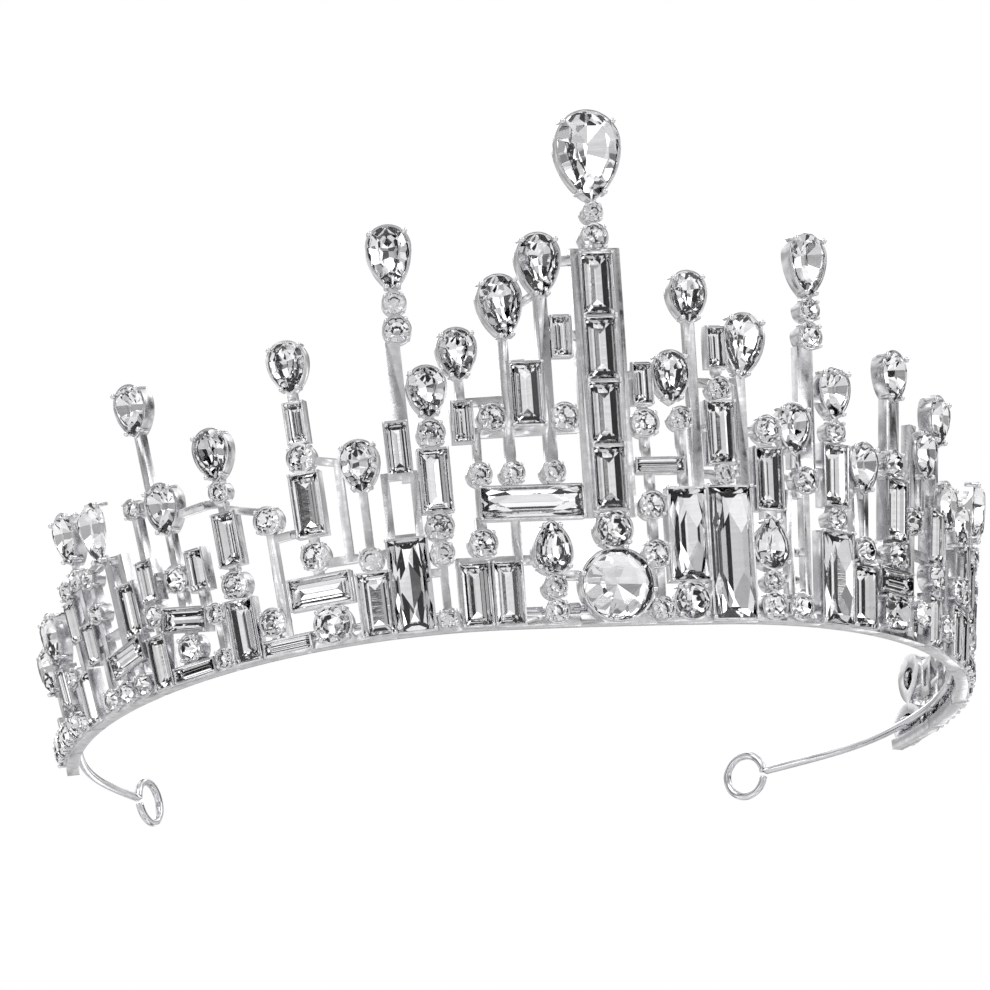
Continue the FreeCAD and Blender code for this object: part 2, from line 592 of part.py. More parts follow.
def wire_hoop():
    """The hoop and both tails, up to the loops."""
    eyes = [Part.makeTorus(LOOP_RADIUS, WIRE_RADIUS, loop_middle(side), loop_axis(side))
            for side in (-1, 1)]
    left, right = tail(-1), tail(1)
    left.reverse()
    lines = [left, wire_arc(-PANEL_END, -FRONT_HALF), wire_arc(-FRONT_HALF, FRONT_HALF),
             wire_arc(FRONT_HALF, PANEL_END), right]
    path = Part.Wire([line.toShape() for line in lines])
    start = loop_middle(-1) - tail_direction(-1) * LOOP_RADIUS
    ring = Part.Wire([Part.makeCircle(WIRE_RADIUS, start, tail_direction(-1))])
    return path.makePipeShell([ring], True, False).cut(eyes)


def hair_loop(side):
    """The eye at a tail's end, upright and in line with the tail."""
    along = tail_direction(side)
    centre = loop_middle(side)
    ring = Part.Wire([Part.makeCircle(WIRE_RADIUS, centre - along * LOOP_RADIUS, V(0, 0, 1))])
    return Part.Face(ring).revolve(centre, loop_axis(side), 360 - LOOP_GAP)


def solder(s, keep_out):
    """A bead of solder between the hoop and the back of the casting."""
    box = Part.makeBox(SOLDER_WIDTH, SOLDER_DEPTH, SOLDER_HEIGHT,
                       V(-SOLDER_WIDTH / 2, 0, -SOLDER_HEIGHT / 2))
    bead = seated(box.makeFillet(0.35, box.Edges), s, WIRE_HEIGHT)
    near = [k for k in keep_out if k.BoundBox.intersect(bead.BoundBox)]
    return bead.cut(near)


# ---- nodes ---------------------------------------------------------------------------------------
def region(s):
    """Which part of the tiara a stone belongs to."""
    if abs(s) < 0.1:
        return "centre"
    side = "left" if s < 0 else "right"
    return side + ("_wing" if abs(s) > 50 else "_front")


NODE_OF_STONE = {
    "crest_pear": "crest_pear_stone", "drop": "centre_drop_stone", "bar_stone": "long_bar_stone",
    "long_plate": "long_plate_stone", "plate": "plate_stones", "cushion": "cushion_stone",
    "large_round": "large_round_stones",
}
FAMILY = {
    "tall_pear": "tall_pear_stones", "pear": "pear_stones", "round": "round_stones",
    "small_round": "small_round_stones", "tiny_round": "small_round_stones",
    "spire_baguette": "baguette_stones", "baguette": "baguette_stones",
    "mid_baguette": "slim_baguette_stones", "slim_baguette": "slim_baguette_stones",
    "line_baguette": "slim_baguette_stones",
}


def stone_node(name, s):
    """Name of the node that holds a stone."""
    if name in NODE_OF_STONE:
        return NODE_OF_STONE[name]
    return FAMILY[name] + "_" + region(s)


def build():
    """All nodes, as a dictionary from name to a list of solids."""
    nodes = {}
    forms = {name: (stone(name), pocket(name)) for name in STONES}
    pockets = []
    for entry in PANELS:
        for name, s, h, turn in stones_in(entry[3]):
            form, hollow = forms[name]
            nodes.setdefault(stone_node(name, s), []).append(seated(form, s, h, turn))
            pockets.append(seated(hollow, s, h, turn))
    castings = []
    for entry in PANELS:
        body = cast_panel(entry, pockets + castings[-2:])
        castings.append(body)
        nodes[entry[0]] = [body]
    hoop = wire_hoop()
    nodes["hoop_wire"] = [hoop]
    nodes["hair_loop_left"] = [hair_loop(-1)]
    nodes["hair_loop_right"] = [hair_loop(1)]
    nodes["solder_beads"] = [solder(s, castings + [hoop]) for s in SOLDERED_AT]
    return nodes


def main():
    """Builds every node, centres the tiara on its footprint and writes the files."""
    os.makedirs("parts", exist_ok=True)
    nodes = {name: Part.makeCompound(solids) for name, solids in build().items()}
    box = Part.makeCompound(list(nodes.values())).optimalBoundingBox(False)
    shift = V(-box.Center.x, -box.Center.y, 0)
    for name, shape in nodes.items():
        shape.translate(shift)
        shape.exportStep(f"parts/{name}.step")
    print(f"{len(nodes)} nodes, {box.XLength:.2f} x {box.YLength:.2f} x {box.ZMax:.2f} mm,"
          f" lowest {box.ZMin:.3f}, moved by {shift}")



main()
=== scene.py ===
"""Bridal tiara: the looks of its plated castings, cut glass stones, claws, hoop wire and solder.

Metres.  X is to the wearer's left, the front faces -Y and Z is up.  Every stone is measured from
the seat that the frame gives it, cut once for its size and set in each seat of that size.
"""

import logging
import math
import random
from dataclasses import dataclass, field
from enum import Enum

import bpy
import numpy as np
from mathutils import Matrix, Vector


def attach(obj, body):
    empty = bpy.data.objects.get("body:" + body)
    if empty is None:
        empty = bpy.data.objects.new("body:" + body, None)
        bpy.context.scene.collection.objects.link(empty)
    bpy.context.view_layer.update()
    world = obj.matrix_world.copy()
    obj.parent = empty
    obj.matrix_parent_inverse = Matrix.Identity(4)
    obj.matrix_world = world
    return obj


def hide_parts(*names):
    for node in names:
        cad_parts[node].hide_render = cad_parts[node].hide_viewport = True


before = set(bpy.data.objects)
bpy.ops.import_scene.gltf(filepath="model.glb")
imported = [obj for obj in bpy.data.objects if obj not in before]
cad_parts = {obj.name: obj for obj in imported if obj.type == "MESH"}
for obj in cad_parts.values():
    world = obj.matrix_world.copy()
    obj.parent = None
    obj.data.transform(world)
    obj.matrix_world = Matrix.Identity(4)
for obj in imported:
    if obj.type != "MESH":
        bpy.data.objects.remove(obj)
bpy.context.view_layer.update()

LOG = logging.getLogger("bridal_tiara")
MM = 0.001
BODY = "root"
SEED = 11
WALL_FLARE = math.radians(9.0)
PAVILION = 1.3              # a stone's depth below its girdle, in millimetres
GIRDLE = 0.3                # and the height of that girdle
MERGE = 0.002 * MM          # corners closer than this are one
MIX_FACTOR, MIX_FIRST, MIX_SECOND, MIX_RESULT = 0, 6, 7, 2      # sockets of a colour mix


# ---- finishes ------------------------------------------------------------------------------------
class Slot(Enum):
    """The record's material slots."""

    CASTING = "plated_casting"
    WIRE = "plated_wire"
    SOLDER = "solder"
    PEAR = "pear_glass"
    ROUND = "round_glass"
    STEP = "step_cut_glass"


class Pattern(Enum):
    """The two shared surface patterns."""

    CAST_GRAIN = "cast_grain"
    FINE_SCRATCHES = "fine_scratches"


STRETCH = {Pattern.CAST_GRAIN: (1.0, 1.0, 1.0), Pattern.FINE_SCRATCHES: (0.25, 1.0, 4.0)}
FINE_GRAIN = 6.0            # how much finer the small noise of a pattern is than its broad noise
FINE_SHARE = 0.35           # and how high it stands beside the broad noise
MASK_RANGE = (0.3, 0.7)     # the broad noise between which the mask goes from none to full


def pattern_group(pattern: Pattern) -> bpy.types.NodeTree:
    """Makes the node group of a surface pattern, or returns the one made before.

    Args:
        pattern: Which pattern the group holds.

    Returns:
        A group with the inputs Scale and Detail, and the outputs Mask and Height.
    """
    made = bpy.data.node_groups.get(pattern.value)
    if made:
        return made
    tree = bpy.data.node_groups.new(pattern.value, "ShaderNodeTree")
    for name, value in (("Scale", 1.0), ("Detail", 3.0)):
        socket = tree.interface.new_socket(name, in_out="INPUT", socket_type="NodeSocketFloat")
        socket.default_value = value
    for name in ("Mask", "Height"):
        tree.interface.new_socket(name, in_out="OUTPUT", socket_type="NodeSocketFloat")
    nodes, links = tree.nodes, tree.links
    entry = nodes.new("NodeGroupInput")
    leave = nodes.new("NodeGroupOutput")
    coords = nodes.new("ShaderNodeTexCoord")
    broad = nodes.new("ShaderNodeTexNoise")
    fine = nodes.new("ShaderNodeTexNoise")
    place = nodes.new("ShaderNodeMapping")
    place.inputs["Scale"].default_value = STRETCH[pattern]
    links.new(coords.outputs["Object"], place.inputs["Vector"])
    links.new(place.outputs["Vector"], broad.inputs["Vector"])
    links.new(place.outputs["Vector"], fine.inputs["Vector"])
    links.new(entry.outputs["Scale"], broad.inputs["Scale"])
    links.new(entry.outputs["Detail"], broad.inputs["Detail"])
    closer = nodes.new("ShaderNodeMath")
    closer.operation = "MULTIPLY"
    closer.inputs[1].default_value = FINE_GRAIN
    links.new(entry.outputs["Scale"], closer.inputs[0])
    links.new(closer.outputs[0], fine.inputs["Scale"])
    spread = nodes.new("ShaderNodeMapRange")
    spread.inputs["From Min"].default_value = MASK_RANGE[0]
    spread.inputs["From Max"].default_value = MASK_RANGE[1]
    links.new(broad.outputs["Fac"], spread.inputs["Value"])
    links.new(spread.outputs["Result"], leave.inputs["Mask"])
    total = nodes.new("ShaderNodeMath")
    total.operation = "MULTIPLY_ADD"
    total.inputs[1].default_value = FINE_SHARE
    links.new(fine.outputs["Fac"], total.inputs[0])
    links.new(broad.outputs["Fac"], total.inputs[2])
    links.new(total.outputs[0], leave.inputs["Height"])
    return tree


@dataclass(frozen=True)
class Finish:
    """A surface: its colour between two tones, its gloss, and the pattern that breaks both up."""

    name: str
    tone: tuple[float, float, float]
    dull_tone: tuple[float, float, float]
    roughness: tuple[float, float]
    metallic: float = 1.0
    transmission: float = 0.0
    ior: float = 1.45
    pattern: Pattern = Pattern.CAST_GRAIN
    scale: float = 900.0
    detail: float = 3.0
    bump: float = 0.1
    bump_height: float = 0.05 * MM

    def material(self) -> bpy.types.Material:
        """The finish's material, made on first use."""
        return bpy.data.materials.get(self.name) or self._make()

    def _make(self) -> bpy.types.Material:
        """Builds the node tree.

        Returns:
            The new material.
        """
        material = bpy.data.materials.new(self.name)
        material.use_nodes = True
        nodes, links = material.node_tree.nodes, material.node_tree.links
        shader = nodes["Principled BSDF"]
        shader.inputs["Metallic"].default_value = self.metallic
        shader.inputs["Transmission Weight"].default_value = self.transmission
        shader.inputs["IOR"].default_value = self.ior
        group = nodes.new("ShaderNodeGroup")
        group.node_tree = pattern_group(self.pattern)
        group.inputs["Scale"].default_value = self.scale
        group.inputs["Detail"].default_value = self.detail
        tone = nodes.new("ShaderNodeMix")
        tone.data_type = "RGBA"
        tone.inputs[MIX_FIRST].default_value = (*self.tone, 1.0)
        tone.inputs[MIX_SECOND].default_value = (*self.dull_tone, 1.0)
        links.new(group.outputs["Mask"], tone.inputs[MIX_FACTOR])
        links.new(tone.outputs[MIX_RESULT], shader.inputs["Base Color"])
        gloss = nodes.new("ShaderNodeMapRange")
        gloss.inputs["To Min"].default_value = self.roughness[0]
        gloss.inputs["To Max"].default_value = self.roughness[1]
        links.new(group.outputs["Mask"], gloss.inputs["Value"])
        links.new(gloss.outputs["Result"], shader.inputs["Roughness"])
        bump = nodes.new("ShaderNodeBump")
        bump.inputs["Strength"].default_value = self.bump
        bump.inputs["Distance"].default_value = self.bump_height
        links.new(group.outputs["Height"], bump.inputs["Height"])
        links.new(bump.outputs["Normal"], shader.inputs["Normal"])
        return material


CASTING = Finish("bright_silver_casting", (0.76, 0.76, 0.77), (0.56, 0.56, 0.58), (0.12, 0.30),
                 scale=700.0, bump=0.35)
CLAW = Finish("burnished_claw", (0.84, 0.84, 0.85), (0.66, 0.66, 0.68), (0.07, 0.16),
              scale=1200.0, bump=0.12)
WIRE = Finish("drawn_plated_wire", (0.74, 0.74, 0.76), (0.54, 0.54, 0.57), (0.08, 0.20),
              pattern=Pattern.FINE_SCRATCHES, scale=300.0, bump=0.05)
SOLDER = Finish("flowed_solder", (0.68, 0.68, 0.70), (0.50, 0.50, 0.53), (0.22, 0.40),
                scale=600.0, bump=0.35)
GLASS = Finish("clear_cut_glass", (1.0, 1.0, 1.0), (0.97, 0.975, 0.98), (0.0, 0.02), metallic=0.0,
               transmission=1.0, ior=1.57, pattern=Pattern.FINE_SCRATCHES, scale=500.0, bump=0.02)
FOIL = Finish("silver_foil_backing", (0.96, 0.96, 0.965), (0.86, 0.86, 0.875), (0.015, 0.06),
              pattern=Pattern.FINE_SCRATCHES, scale=400.0, bump=0.03)


# ---- working with meshes -------------------------------------------------------------------------
def deselect() -> None:
    """Leaves edit mode and deselects every object."""
    if bpy.context.object and bpy.context.object.mode != "OBJECT":
        bpy.ops.object.mode_set(mode="OBJECT")
    bpy.ops.object.select_all(action="DESELECT")


def activate(piece: bpy.types.Object) -> None:
    """Makes a piece the only selected object, and the active one.

    Args:
        piece: The piece.
    """
    deselect()
    piece.select_set(True)
    bpy.context.view_layer.objects.active = piece


def node_copy(node: str, name: str) -> bpy.types.Object:
    """Copies a node of the frame into a new piece with its doubles merged.

    Args:
        node: The node's name.
        name: The new piece's name.

    Returns:
        The copy, at the origin.
    """
    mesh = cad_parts[node].data.copy()
    mesh.materials.clear()
    mesh.name = name
    piece = bpy.data.objects.new(name, mesh)
    bpy.context.scene.collection.objects.link(piece)
    activate(piece)
    bpy.ops.object.mode_set(mode="EDIT")
    bpy.ops.mesh.select_all(action="SELECT")
    bpy.ops.mesh.remove_doubles(threshold=MERGE)
    bpy.ops.object.mode_set(mode="OBJECT")
    return piece


def apply_modifier(piece: bpy.types.Object, kind: str, **settings: object) -> None:
    """Adds a modifier to a piece and applies it.

    Args:
        piece: The piece.
        kind: The modifier's type.
        **settings: Its settings.
    """
    activate(piece)
    modifier = piece.modifiers.new(kind.lower(), kind)
    for key, value in settings.items():
        setattr(modifier, key, value)
    bpy.ops.object.modifier_apply(modifier=modifier.name)


def joined(parts: list[bpy.types.Object], name: str) -> bpy.types.Object:
    """Joins parts into one piece.

    Args:
        parts: Objects at the origin.
        name: The piece's name.

    Returns:
        The joined piece.
    """
    deselect()
    for part in parts:
        part.select_set(True)
    bpy.context.view_layer.objects.active = parts[0]
    if len(parts) > 1:
        bpy.ops.object.join()
    parts[0].name = name
    parts[0].data.name = name
    return parts[0]


def placed_copy(model: bpy.types.Object, matrix: Matrix) -> bpy.types.Object:
    """Copies a model with its own mesh, moved by a matrix.

    Args:
        model: The model.
        matrix: Where the copy's mesh goes.

    Returns:
        The copy, with its object at the origin.
    """
    copy = model.copy()
    copy.data = model.data.copy()
    copy.data.transform(matrix)
    bpy.context.scene.collection.objects.link(copy)
    return copy


def put_away(model: bpy.types.Object) -> None:
    """Takes a model out of the scene: only its copies are shown.

    Args:
        model: The model.
    """
    for home in list(model.users_collection):
        home.objects.unlink(model)


def installed(piece: bpy.types.Object, slot: Slot, *nodes: str) -> bpy.types.Object:
    """Lets a finished piece ride and stand for its nodes.

    Args:
        piece: The piece.
        slot: Its material slot; not used.
        *nodes: The nodes of the frame that it stands for.

    Returns:
        The piece.
    """
    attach(piece, BODY)
    if nodes:
        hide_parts(*nodes)
    return piece


# ---- seats ---------------------------------------------------------------------------------------
class Outline(Enum):
    """The four outlines a stone may have."""

    ROUND = "round"
    PEAR = "pear"
    STEP = "step"
    CUSHION = "cushion"


@dataclass
class Seat:
    """Where a stone sits: its frame at the girdle, and its size in millimetres."""

    matrix: Matrix
    outline: Outline
    width: float
    height: float
    crown: float


def loose_parts(mesh: bpy.types.Mesh) -> list[tuple[np.ndarray, np.ndarray]]:
    """Splits a mesh into its separate shells.

    Args:
        mesh: A merged mesh.

    Returns:
        For each shell, its vertices and the corner numbers of its triangles.
    """
    mesh.calc_loop_triangles()
    points = np.array([v.co for v in mesh.vertices])
    corners = np.array([t.vertices for t in mesh.loop_triangles])
    root = np.arange(len(points))

    def find(i: int) -> int:
        """Finds the vertex that stands for a shell.

        Args:
            i: Any vertex of the shell.

        Returns:
            The vertex's number.
        """
        while root[i] != i:
            root[i] = root[root[i]]
            i = root[i]
        return i

    for a, b, c in corners:
        root[find(b)] = find(a)
        root[find(c)] = find(a)
    owner = np.array([find(i) for i in range(len(points))])
    shells = []
    for first in np.unique(owner[corners[:, 0]]):
        own = corners[owner[corners[:, 0]] == first]
        used, renumbered = np.unique(own, return_inverse=True)
        shells.append((points[used], renumbered.reshape(own.shape)))
    return sorted(shells, key=lambda s: (round(s[0][:, 0].mean(), 5), s[0][:, 2].mean()))


STRAIGHT = 1e-3             # a corner that turns less than this is on a straight edge


def hull(points: np.ndarray) -> np.ndarray:
    """Finds the convex outline of points in a plane.

    Args:
        points: The points, in millimetres.

    Returns:
        The outline's corners, counterclockwise and without points on its edges.
    """
    order = sorted(map(tuple, np.round(points, 4)))
    order = [p for i, p in enumerate(order) if i == 0 or p != order[i - 1]]
    sides = []
    for run in (order, order[::-1]):
        side = []
        for p in run:
            while len(side) > 1 and ((side[-1][0] - side[-2][0]) * (p[1] - side[-2][1])
                                     - (side[-1][1] - side[-2][1]) * (p[0] - side[-2][0])) < STRAIGHT:
                side.pop()
            side.append(p)
        sides += side[:-1]
    return np.array(sides)


def long_axis(rim: np.ndarray) -> np.ndarray:
    """Finds the direction of the longest edge of an outline.

    Args:
        rim: The outline.

    Returns:
        A unit vector.
    """
    edges = np.roll(rim, -1, axis=0) - rim
    longest = edges[np.argmax(np.hypot(edges[:, 0], edges[:, 1]))]
    return longest / np.hypot(*longest)


def point_axis(rim: np.ndarray) -> np.ndarray:
    """Finds the direction from the middle of a pear's outline to its point, its sharpest corner.

    Args:
        rim: The outline.

    Returns:
        A unit vector.
    """
    ahead = np.roll(rim, -1, axis=0) - rim
    behind = rim - np.roll(rim, 1, axis=0)
    leaving = np.arctan2(ahead[:, 1], ahead[:, 0])
    arriving = np.arctan2(behind[:, 1], behind[:, 0])
    tip = rim[np.argmax((leaving - arriving) % math.tau)]
    away = tip - (rim.max(0) + rim.min(0)) / 2
    return away / np.hypot(*away)


@dataclass
class SeatFinder:
    """Measures the seats of a node's stones from their outlines in the frame."""

    lean_slack: float = 0.01

    def facing(self, points: np.ndarray, corners: np.ndarray) -> Vector:
        """Finds the direction out of the band at a stone: its flat top's, which leans with the wall.

        Args:
            points: The stone's vertices.
            corners: Its triangles.

        Returns:
            A unit vector.
        """
        a, b, c = (points[corners[:, k]] for k in range(3))
        cross = np.cross(b - a, c - a)
        area = np.linalg.norm(cross, axis=1)
        normal = cross / np.maximum(area, 1e-15)[:, None]
        leaning = np.abs(normal[:, 2] + math.sin(WALL_FLARE)) < self.lean_slack
        totals: dict[tuple[float, float], float] = {}
        for n, size in zip(normal[leaning], area[leaning]):
            key = (round(float(n[0]), 2), round(float(n[1]), 2))
            totals[key] = totals.get(key, 0.0) + float(size)
        level = max(totals, key=lambda k: totals[k])
        out = Vector((*level, 0.0)).normalized()
        return out * math.cos(WALL_FLARE) - Vector((0, 0, math.sin(WALL_FLARE)))

    def seat(self, points: np.ndarray, corners: np.ndarray, outline: Outline) -> Seat:
        """Measures one stone.

        Args:
            points: The stone's vertices, in metres.
            corners: Its triangles.
            outline: The kind of outline it has.

        Returns:
            The stone's seat.
        """
        out = self.facing(points, corners)
        up = (Vector((0, 0, 1)) - out * out.z).normalized()
        right = up.cross(out)
        axes = np.array([right, up, out])
        local = points / MM @ axes.T
        rim = hull(local[:, :2])
        axis = np.array([0.0, 1.0])
        if outline is Outline.PEAR:
            axis = -point_axis(rim)
        elif outline is Outline.STEP:
            axis = long_axis(rim)
            axis = axis if axis[1] > -1e-6 else -axis
        across = np.array([axis[1], -axis[0]])
        turned = rim @ np.array([across, axis]).T
        low, high = turned.min(0), turned.max(0)
        middle = (low + high) / 2 @ np.array([across, axis])
        deep, top = local[:, 2].min(), local[:, 2].max()
        rise = deep + PAVILION + GIRDLE
        place = (right * middle[0] + up * middle[1] + out * rise) * MM
        x_axis = right * across[0] + up * across[1]
        y_axis = right * axis[0] + up * axis[1]
        matrix = Matrix((x_axis, y_axis, out)).transposed().to_4x4()
        return Seat(Matrix.Translation(place) @ matrix, outline,
                    *(round(float(k), 1) for k in high - low), round(float(top - rise), 1))


# ---- cuts ----------------------------------------------------------------------------------------
@dataclass(frozen=True)
class Tier:
    """A ring of facets: how many, whether turned by half a step, and two points of their slope.

    An inset is a share of the stone's half width, and a height a share of its crown or pavilion.
    """

    count: int
    half_step: bool
    inset_from: float
    height_from: float
    inset_to: float
    height_to: float


@dataclass(frozen=True)
class Cut:
    """The facets of a stone, and where its claws stand, in degrees round it from its right."""

    crown: tuple[Tier, ...]
    pavilion: tuple[Tier, ...]
    claws: tuple[float, ...]
    claw_size: float = 1.0
    corner_lean: float = 26.0


BRILLIANT = Cut(
    (Tier(8, False, 0.0, 0.0, 0.44, 1.0), Tier(16, True, 0.0, 0.0, 0.17, 0.62),
     Tier(8, True, 0.27, 0.80, 0.475, 1.0)),
    (Tier(8, False, 0.03, 0.0, 0.94, 1.0), Tier(16, True, 0.0, 0.0, 0.40, 0.50)),
    claws=(45, 135, 225, 315))
PEAR_BRILLIANT = Cut(
    (Tier(10, True, 0.0, 0.0, 0.46, 1.0), Tier(20, True, 0.0, 0.0, 0.18, 0.62),
     Tier(10, False, 0.25, 0.76, 0.52, 1.0)),
    (Tier(10, True, 0.03, 0.0, 0.92, 1.0), Tier(20, True, 0.0, 0.0, 0.42, 0.52)),
    claws=(40, 140, 226, 314))
STEP_CUT = Cut(
    (Tier(4, False, 0.0, 0.0, 0.18, 0.62), Tier(4, False, 0.18, 0.62, 0.40, 1.0)),
    (Tier(4, False, 0.0, 0.0, 0.28, 0.50), Tier(4, False, 0.28, 0.50, 0.64, 0.86),
     Tier(4, False, 0.64, 0.86, 0.98, 1.0)),
    claws=(45, 135, 225, 315), claw_size=0.7)
RADIANT = Cut(
    (Tier(4, False, 0.0, 0.0, 0.34, 1.0), Tier(4, True, 0.12, 0.2, 0.62, 1.0)),
    (Tier(4, False, 0.0, 0.0, 0.52, 0.70), Tier(4, False, 0.50, 0.66, 0.98, 0.96),
     Tier(4, True, 0.22, 0.0, 1.22, 1.0)),
    claws=(45, 135, 225, 315), claw_size=0.8, corner_lean=11.0)
CUSHION_CUT = Cut(
    (Tier(8, False, 0.0, 0.0, 0.42, 1.0), Tier(16, True, 0.0, 0.0, 0.17, 0.60),
     Tier(8, True, 0.22, 0.74, 0.47, 1.0)),
    (Tier(8, False, 0.02, 0.0, 0.92, 1.0), Tier(8, True, 0.0, 0.0, 0.50, 0.55)),
    claws=(45, 135, 225, 315))


@dataclass
class Cutter:
    """Cuts stones out of blocks of glass, facet by facet, and keeps one model of each size."""

    margin: float = 0.02
    radiant_from: float = 14.0
    cushion_corner: float = 0.3
    girdle_sides: int = 24
    steps_round: int = 720
    steps_flank: int = 200
    steps_top: int = 240
    cut_slack: float = 1e-4
    merge: float = 2e-3
    flat_angle: float = math.radians(0.5)
    models: dict[tuple, bpy.types.Object] = field(default_factory=dict)

    def cut_for(self, seat: Seat) -> Cut:
        """Chooses the cut that a stone of this outline and size has.

        Args:
            seat: The stone's seat.

        Returns:
            The cut.
        """
        if seat.outline is Outline.ROUND:
            return BRILLIANT
        if seat.outline is Outline.PEAR:
            return PEAR_BRILLIANT
        if seat.outline is Outline.CUSHION:
            return CUSHION_CUT
        return RADIANT if seat.height > self.radiant_from else STEP_CUT

    def rim(self, seat: Seat) -> np.ndarray:
        """Points along a stone's outline, evenly spaced, starting at its lowest point.

        Args:
            seat: The stone's seat.

        Returns:
            An array of points, counterclockwise.
        """
        half_w, half_h = seat.width / 2 - self.margin, seat.height / 2 - self.margin
        turn = np.linspace(-math.pi / 2, 1.5 * math.pi, self.steps_round + 1)[:-1]
        if seat.outline is Outline.STEP:
            return np.array([(-half_w, -half_h), (half_w, -half_h),
                             (half_w, half_h), (-half_w, half_h)])
        if seat.outline is Outline.ROUND:
            return np.column_stack((half_w * np.cos(turn), half_w * np.sin(turn)))
        if seat.outline is Outline.CUSHION:
            r = self.cushion_corner * seat.width
            x = np.sign(np.cos(turn)) * (half_w - r) + r * np.cos(turn)
            y = np.sign(np.sin(turn)) * (half_h - r) + r * np.sin(turn)
            return np.column_stack((x, y))
        reach = 2 * half_h - half_w
        flank = (half_w ** 2 + reach ** 2) / (2 * half_w)
        lift = half_h - half_w
        sweep = math.atan2(reach, flank - half_w)
        right = np.linspace(-sweep, 0, self.steps_flank)
        side = np.column_stack((half_w - flank + flank * np.cos(right),
                                lift + flank * np.sin(right)))
        over = np.linspace(0, math.pi, self.steps_top)
        crown = np.column_stack((half_w * np.cos(over), lift + half_w * np.sin(over)))
        other = side[::-1] * (-1, 1)
        return np.concatenate((side, crown[1:-1], other[:-1]))

    def directions(self, rim: np.ndarray, outline: Outline, tier: Tier,
                   corner_lean: float) -> list[float]:
        """Headings of a tier's facets, spread evenly along the outline.

        Args:
            rim: The stone's outline.
            outline: Its kind.
            tier: The tier.
            corner_lean: How far the corner facets of a step outline turn to its ends, in degrees.

        Returns:
            Angles in radians.
        """
        shift = 0.5 if tier.half_step else 0.0
        if outline is Outline.STEP and not tier.half_step:
            return [math.pi / 2 * k for k in range(4)]
        if outline is Outline.STEP:
            lean = math.radians(corner_lean)
            return [lean, math.pi - lean, math.pi + lean, -lean]
        if outline is not Outline.PEAR:
            return [math.tau * (k + shift) / tier.count for k in range(tier.count)]
        edges = np.roll(rim, -1, axis=0) - rim
        run = np.concatenate(((0,), np.cumsum(np.hypot(edges[:, 0], edges[:, 1]))))
        found = []
        for k in range(tier.count):
            if k == 0 and not tier.half_step:
                found.append(-math.pi / 2)
                continue
            at = (k + shift) / tier.count * run[-1]
            i = min(int(np.searchsorted(run, at, side="right")) - 1, len(edges) - 1)
            found.append(math.atan2(-edges[i][0], edges[i][1]))
        return found

    def planes(self, seat: Seat, cut: Cut) -> list[tuple[Vector, Vector]]:
        """The planes a block is cut along: a point and a normal each, in millimetres.

        Args:
            seat: The stone's seat.
            cut: Its cut.

        Returns:
            The planes, table first.
        """
        rim = self.rim(seat)
        half = min(seat.width, seat.height) / 2
        cuts = [(Vector((0, 0, seat.crown)), Vector((0, 0, 1)))]
        stepped = seat.outline is Outline.STEP
        wall = Tier(4 if stepped else self.girdle_sides, not stepped, 0, 0, 0, 0)
        for heading in self.directions(rim, seat.outline, wall, cut.corner_lean):
            way = Vector((math.cos(heading), math.sin(heading), 0))
            cuts.append((way * float((rim @ np.array(way[:2])).max()), way))
        for tiers, size, sign, start in ((cut.crown, seat.crown, 1, 0.0),
                                         (cut.pavilion, PAVILION, -1, -GIRDLE)):
            for tier in tiers:
                for heading in self.directions(rim, seat.outline, tier, cut.corner_lean):
                    way = Vector((math.cos(heading), math.sin(heading), 0))
                    reach = float((rim @ np.array(way[:2])).max())
                    fall = (tier.inset_to - tier.inset_from) * half
                    climb = (tier.height_to - tier.height_from) * size
                    normal = (way * climb + Vector((0, 0, sign * fall))).normalized()
                    point = way * (reach - tier.inset_from * half)
                    point.z = start + sign * tier.height_from * size
                    cuts.append((point, normal))
        return cuts

    def model(self, seat: Seat) -> bpy.types.Object:
        """The cut stone of a seat's size, about the origin, in millimetres.

        Args:
            seat: The seat.

        Returns:
            A hidden model, crown in glass and pavilion in foil.
        """
        key = (seat.outline, seat.width, seat.height, seat.crown)
        if key in self.models:
            return self.models[key]
        deselect()
        bpy.ops.mesh.primitive_cube_add(size=1.0)
        block = bpy.context.object
        bpy.ops.object.mode_set(mode="EDIT")
        bpy.ops.mesh.select_all(action="SELECT")
        bpy.ops.transform.resize(
            value=(seat.width, seat.height, 2 * (PAVILION + GIRDLE + seat.crown)))
        for point, normal in self.planes(seat, self.cut_for(seat)):
            bpy.ops.mesh.select_all(action="SELECT")
            bpy.ops.mesh.bisect(plane_co=point, plane_no=normal, use_fill=True, clear_outer=True,
                                threshold=self.cut_slack)
        bpy.ops.mesh.select_all(action="SELECT")
        bpy.ops.mesh.remove_doubles(threshold=self.merge)
        bpy.ops.mesh.dissolve_limited(angle_limit=self.flat_angle)
        bpy.ops.mesh.normals_make_consistent(inside=False)
        bpy.ops.object.mode_set(mode="OBJECT")
        block.data.materials.append(GLASS.material())
        block.data.materials.append(FOIL.material())
        for facet in block.data.polygons:
            facet.material_index = 1 if facet.center.z < -GIRDLE / 2 else 0
        block.name = f"model_{seat.outline.value}_{len(self.models)}"
        put_away(block)
        self.models[key] = block
        return block


